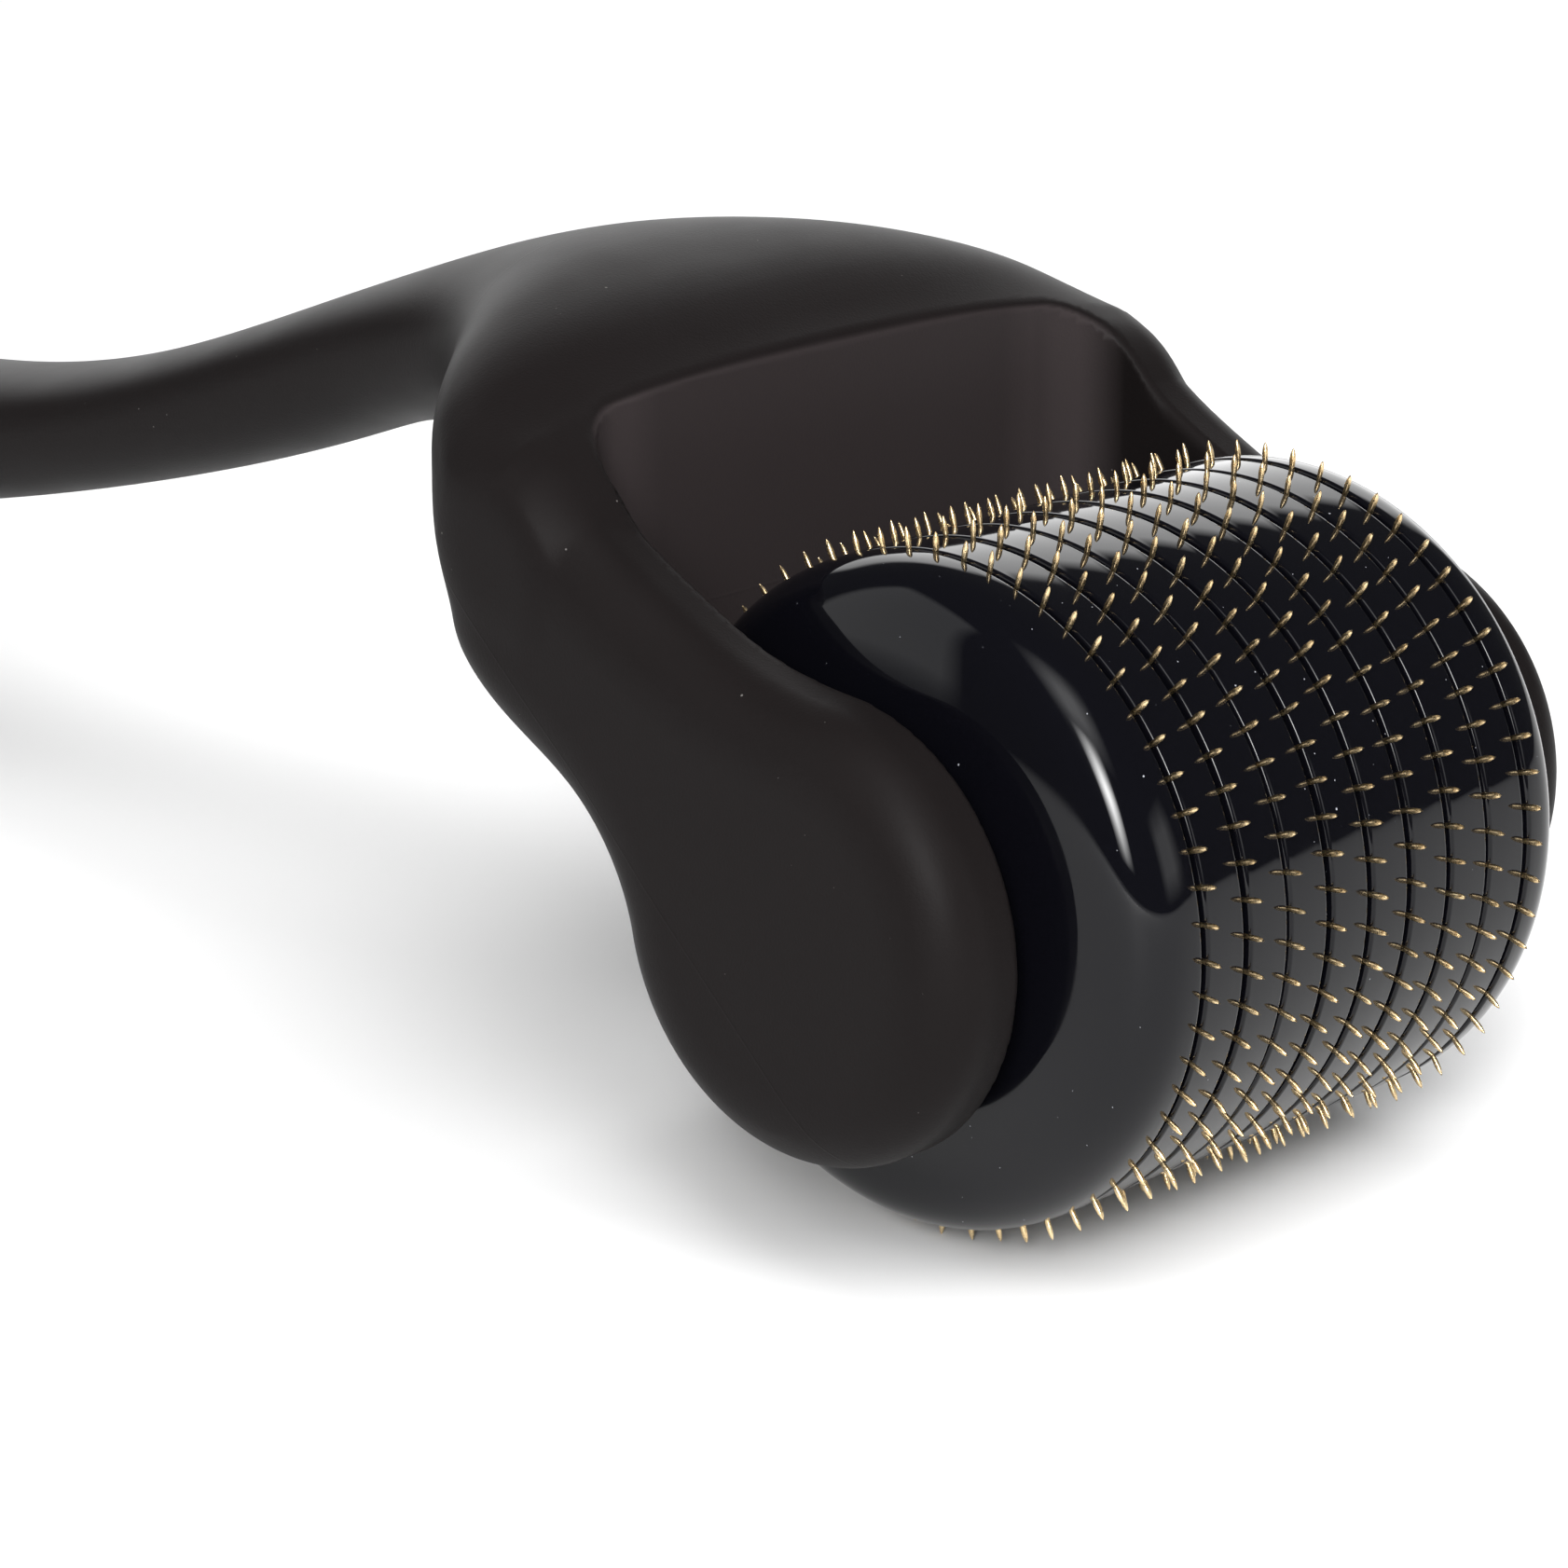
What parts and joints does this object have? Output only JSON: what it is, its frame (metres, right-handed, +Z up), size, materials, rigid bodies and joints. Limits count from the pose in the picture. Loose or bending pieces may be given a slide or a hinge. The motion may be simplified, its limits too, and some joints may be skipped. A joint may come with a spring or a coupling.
{
  "type": "derma roller",
  "caption": "Hand-held skin roller: a drum covered in fine gold needles turns freely on an axle in a two-armed fork at the end of a slim curved handle.",
  "frame": {"origin": "on the surface that it rests on, under the centre of the whole part", "axes": "+X from the handle towards the drum, +Y along the axle towards the right arm, +Z up"},
  "size_m": [0.145, 0.032, 0.0288],
  "materials": {
    "soft_touch_plastic": "soft-touch matt black",
    "gloss_black_plastic": "polished black",
    "gold_needles": "polished gold-coloured steel",
    "core_plastic": "plain black",
    "steel": "ground"
  },
  "bodies": {
    "handle": {"fork_handle": "soft_touch_plastic"},
    "roller": {"axle_pin": "steel", "drum_core": "core_plastic", "end_cap_left": "gloss_black_plastic", "end_cap_right": "gloss_black_plastic", "spacer_disc_1": "gloss_black_plastic", "spacer_disc_2": "gloss_black_plastic", "spacer_disc_3": "gloss_black_plastic", "spacer_disc_4": "gloss_black_plastic", "spacer_disc_5": "gloss_black_plastic", "spacer_disc_6": "gloss_black_plastic", "spacer_disc_7": "gloss_black_plastic", "spacer_disc_8": "gloss_black_plastic", "needle_ring_1": "gold_needles", "needle_ring_2": "gold_needles", "needle_ring_3": "gold_needles", "needle_ring_4": "gold_needles", "needle_ring_5": "gold_needles", "needle_ring_6": "gold_needles", "needle_ring_7": "gold_needles", "needle_ring_8": "gold_needles", "needle_ring_9": "gold_needles"}
  },
  "joints": [
    {"name": "roller_spin", "type": "hinge", "parent": "handle", "child": "roller", "pos_m": [0.06082, 0, 0.0117], "axis": [0, 1, 0], "continuous": true}
  ]
}
